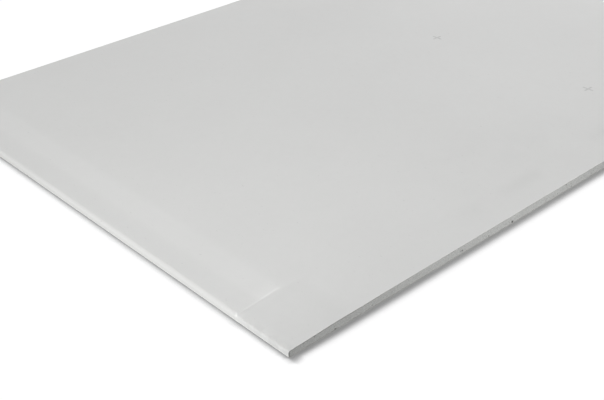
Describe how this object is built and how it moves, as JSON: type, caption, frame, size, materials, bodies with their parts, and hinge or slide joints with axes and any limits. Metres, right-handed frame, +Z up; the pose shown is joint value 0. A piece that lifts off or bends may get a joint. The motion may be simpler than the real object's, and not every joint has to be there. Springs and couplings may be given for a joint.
{
  "type": "drywall sheet",
  "caption": "Flat rectangular gypsum board with paper faces, tapered paper-wrapped edges and cut ends, for lining walls and ceilings.",
  "frame": {"origin": "middle of the back of the sheet, on the surface that it lies on", "axes": "+X from one paper-wrapped edge to the other, +Y from one cut end to the other, +Z up out of the face"},
  "size_m": [1.25, 0.9, 0.0125],
  "materials": {
    "gypsum": "matt, sawn, with fine air pores",
    "face_paper": "matt pale grey board paper",
    "back_paper": "matt grey recycled board paper"
  },
  "bodies": {
    "root": {"gypsum_core": "gypsum", "face_paper": "face_paper", "back_paper": "back_paper"}
  },
  "joints": []
}
